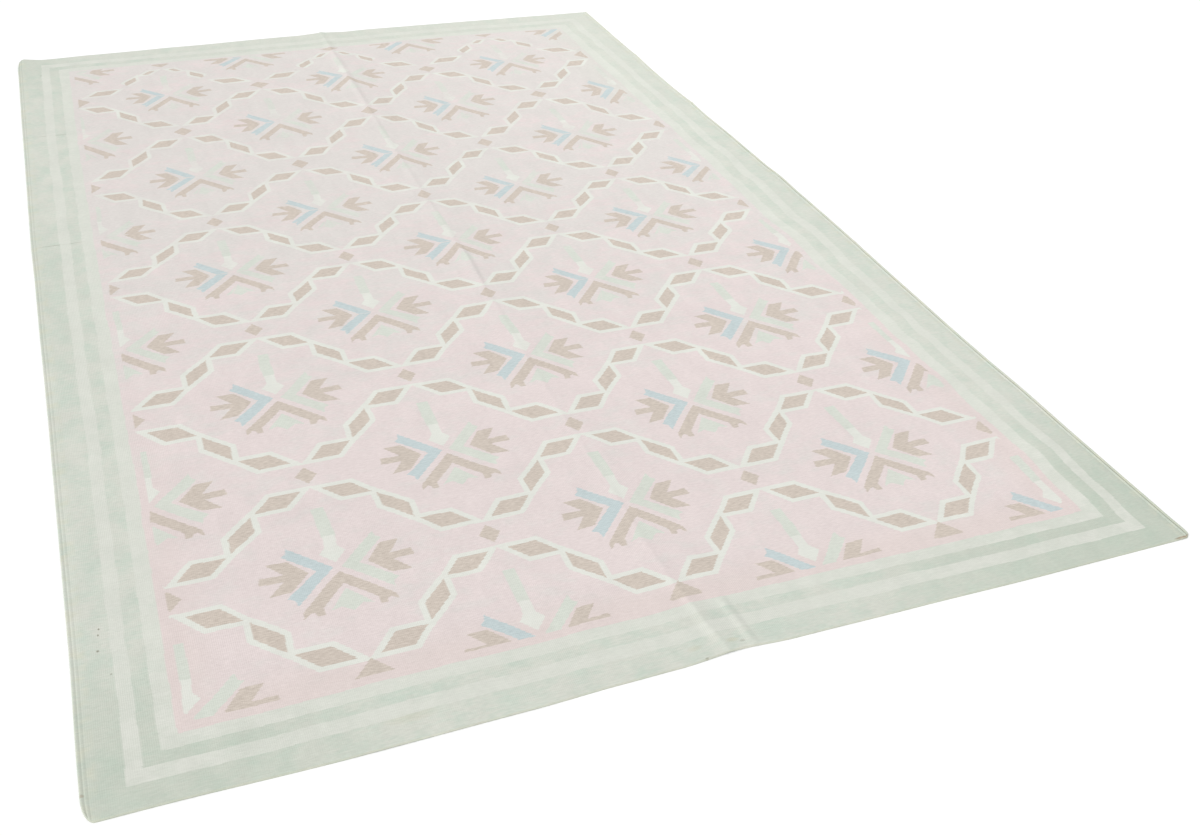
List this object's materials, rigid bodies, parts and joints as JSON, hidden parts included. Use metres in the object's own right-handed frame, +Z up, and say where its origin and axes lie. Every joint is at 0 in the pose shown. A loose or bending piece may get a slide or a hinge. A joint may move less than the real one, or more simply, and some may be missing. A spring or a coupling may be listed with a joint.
{
  "type": "dhurrie rug",
  "caption": "Flat-woven cotton dhurrie rug with a pastel lattice of flowers and a striped border, laid flat with a storage crease.",
  "frame": {"origin": "middle of the bounding box, on the surface the rug lies on", "axes": "+X across the width to the right of the near end, +Y along the length from the near end to the far end, +Z up out of the rug's face"},
  "size_m": [1.84, 2.983, 0.0133],
  "materials": {
    "woven_cotton": "matt weft-faced cotton flatweave in pale pink, sage, ivory, beige and powder blue"
  },
  "bodies": {
    "root": {"rug": "woven_cotton"}
  },
  "joints": []
}
